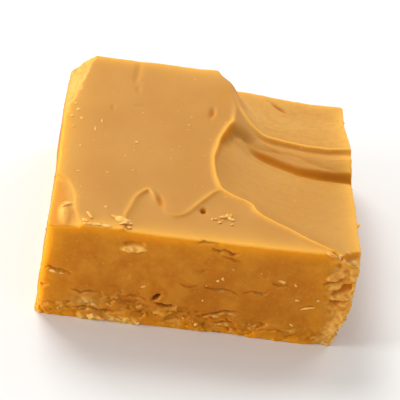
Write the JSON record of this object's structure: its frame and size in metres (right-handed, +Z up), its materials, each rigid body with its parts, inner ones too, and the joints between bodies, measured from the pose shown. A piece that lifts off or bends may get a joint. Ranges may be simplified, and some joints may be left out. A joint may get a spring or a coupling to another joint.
{
  "type": "fudge cube",
  "caption": "Square-cut block of caramel fudge with a smooth knife-swirled top, cut sides and chipped corners.",
  "frame": {"origin": "middle of the block's box, on the flat face it rests on", "axes": "+Z up through the block's thickness, its shortest extent; the smooth cut front faces -Y; the swirl lies to +X"},
  "size_m": [0.0416, 0.0404, 0.0161],
  "materials": {
    "caramel_fudge": "satin, slightly translucent caramel fudge"
  },
  "bodies": {
    "root": {"fudge": "caramel_fudge"}
  },
  "joints": []
}
